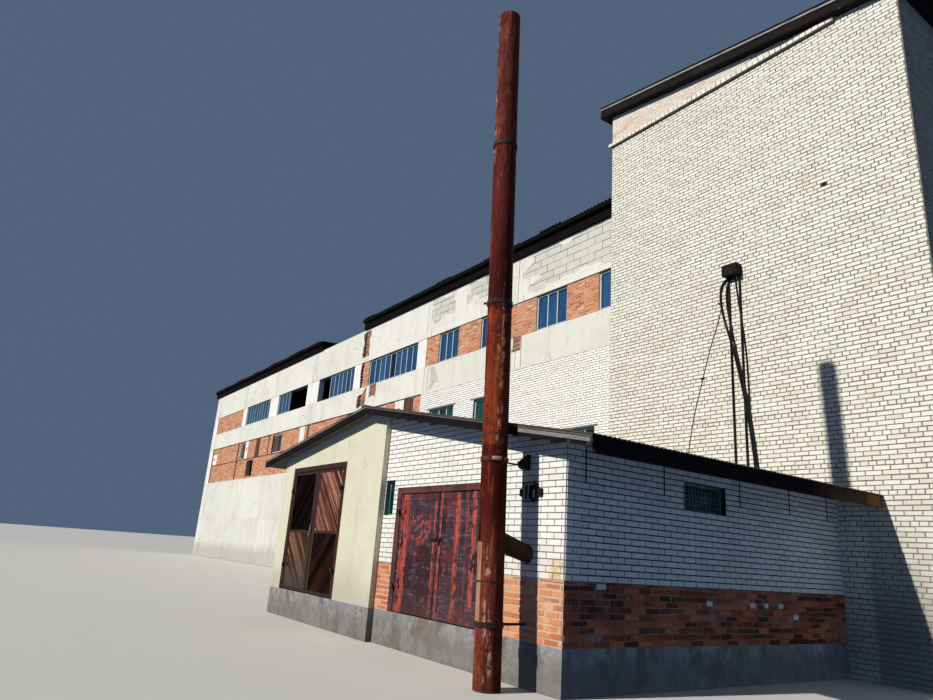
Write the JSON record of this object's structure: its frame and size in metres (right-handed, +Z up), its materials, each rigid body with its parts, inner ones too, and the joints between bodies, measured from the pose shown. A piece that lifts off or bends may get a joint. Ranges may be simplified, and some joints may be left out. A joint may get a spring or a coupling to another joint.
{
  "type": "factory building, 1:2 scale model",
  "caption": "Disused factory: long two-storey range, tall white brick block with sloping roof, low garage with hinged double doors and a leaning rusty flue, at half size.",
  "frame": {"origin": "centre of the tall block's footprint at ground level", "axes": "+X along the long front towards the tall block's free side, +Y into the building away from the garage, +Z up"},
  "size_m": [24.985, 10.6386, 6.4596],
  "materials": {
    "white_brick": "matt silicate brick",
    "range_brick": "matt silicate brick",
    "red_brick": "matt red brick",
    "infill_brick": "matt orange-red brick",
    "plaster": "weathered plaster",
    "pale_render": "weathered render",
    "concrete": "rough concrete",
    "roofing": "weathered fibre cement",
    "dark_timber": "weathered timber",
    "planks": "brown stained boards",
    "red_paint": "worn red paint",
    "frame_paint": "worn pale blue-green paint",
    "green_paint": "worn green paint",
    "glass": "dusty window glass",
    "black_steel": "dark weathered steel",
    "rusty_steel": "rusty painted steel"
  },
  "bodies": {
    "building": {"block_front_wall": "white_brick", "block_back_wall": "white_brick", "block_left_wall": "white_brick", "block_right_wall": "white_brick", "block_roof": "roofing", "string_course": "white_brick", "cable_bracket": "black_steel", "floors": "concrete", "range_end_wall": "pale_render", "range_base_wall": "pale_render", "range_lower_infill": "infill_brick", "range_brick_wall": "range_brick", "range_spandrel": "pale_render", "range_upper_infill": "infill_brick", "range_piers": "pale_render", "range_parapet": "pale_render", "range_back_bands": "pale_render", "range_back_piers": "pale_render", "range_roof_deck": "roofing", "range_roof_sheets": "roofing", "range_window_frames": "frame_paint", "window_glass": "glass", "garage_base": "concrete", "garage_plinth": "red_brick", "brick_wall_beside_door": "range_brick", "brick_wall_over_door": "range_brick", "plaster_wall_beside_door": "plaster", "plaster_wall_over_door": "plaster", "garage_side_wall": "range_brick", "garage_far_walls": "plaster", "garage_roof": "dark_timber", "garage_roof_sheets": "roofing", "roof_edge_boards": "dark_timber", "plank_door_frame": "planks", "red_door_frame": "red_paint", "garage_window_frames": "green_paint", "roof_straps": "black_steel", "wall_lamp": "black_steel", "meter_box": "black_steel", "flue_pipe": "rusty_steel", "flue_link": "rusty_steel", "flue_brackets": "rusty_steel"},
    "plank_door_left": {"plank_door_left": "planks"},
    "plank_door_right": {"plank_door_right": "planks"},
    "red_door_left": {"red_door_left": "red_paint"},
    "red_door_right": {"red_door_right": "red_paint"}
  },
  "joints": [
    {"name": "plank_door_left_hinge", "type": "hinge", "parent": "building", "child": "plank_door_left", "pos_m": [-3.219, -6.641, 0.245], "axis": [0, 0, 1], "range_deg": [-90, 0]},
    {"name": "plank_door_right_hinge", "type": "hinge", "parent": "building", "child": "plank_door_right", "pos_m": [-2.067, -6.641, 0.245], "axis": [0, 0, 1], "range_deg": [0, 90]},
    {"name": "red_door_left_hinge", "type": "hinge", "parent": "building", "child": "red_door_left", "pos_m": [-1.068, -6.594, 0.245], "axis": [0, 0, 1], "range_deg": [-90, 0]},
    {"name": "red_door_right_hinge", "type": "hinge", "parent": "building", "child": "red_door_right", "pos_m": [0.032, -6.594, 0.245], "axis": [0, 0, 1], "range_deg": [0, 90]}
  ]
}
